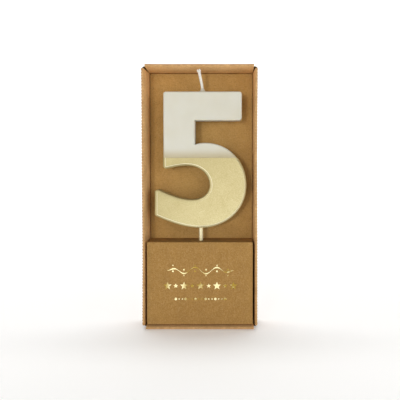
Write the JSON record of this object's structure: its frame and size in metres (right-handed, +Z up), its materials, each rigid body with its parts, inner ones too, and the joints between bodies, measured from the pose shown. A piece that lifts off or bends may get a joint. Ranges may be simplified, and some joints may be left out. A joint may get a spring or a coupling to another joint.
{
  "type": "number birthday candle",
  "caption": "Numeral candle in ivory wax with a gold dipped foot, on a pick held by a card insert inside a shallow kraft presentation tray.",
  "frame": {"origin": "middle of the tray's footprint, on the surface that it stands on", "axes": "+Z up along the tray and the numeral, -Y out of the tray's open front, +X to the right seen from the front"},
  "size_m": [0.07, 0.022, 0.16],
  "materials": {
    "kraft_fluted_board": "matte",
    "kraft_card": "matte",
    "gold_foil": "satin",
    "ivory_wax": "satin",
    "gold_dip": "satin",
    "waxed_cotton": "matte",
    "gold_pick": "satin"
  },
  "bodies": {
    "tray": {"tray_base": "kraft_fluted_board", "tray_left_wall": "kraft_fluted_board", "tray_right_wall": "kraft_fluted_board", "tray_top_wall": "kraft_fluted_board", "tray_bottom_wall": "kraft_fluted_board", "tray_left_inner_wall": "kraft_fluted_board", "tray_right_inner_wall": "kraft_fluted_board", "tray_top_inner_wall": "kraft_fluted_board", "tray_bottom_inner_wall": "kraft_fluted_board", "tab_bottom_left": "kraft_fluted_board", "tab_bottom_right": "kraft_fluted_board", "tab_top_left": "kraft_fluted_board", "tab_top_right": "kraft_fluted_board"},
    "insert": {"insert_back_panel": "kraft_card", "pocket_ledge": "kraft_card", "pocket_front_panel": "kraft_card", "pocket_left_side": "kraft_card", "pocket_right_side": "kraft_card", "pocket_floor": "kraft_card", "foil_vine": "gold_foil", "foil_star_row": "gold_foil", "foil_dot_row": "gold_foil"},
    "candle": {"wax_number": "ivory_wax", "gold_dip_coat": "gold_dip", "wick": "waxed_cotton", "pick": "gold_pick"}
  },
  "joints": [
    {"name": "insert_pull_out", "type": "slide", "parent": "tray", "child": "insert", "axis": [0, -1, 0], "range_m": [0, 0.03]},
    {"name": "candle_tilt", "type": "hinge", "parent": "insert", "child": "candle", "pos_m": [0.0003, -0.0014, 0.05265], "axis": [1, 0, 0], "range_deg": [0, 12]}
  ]
}
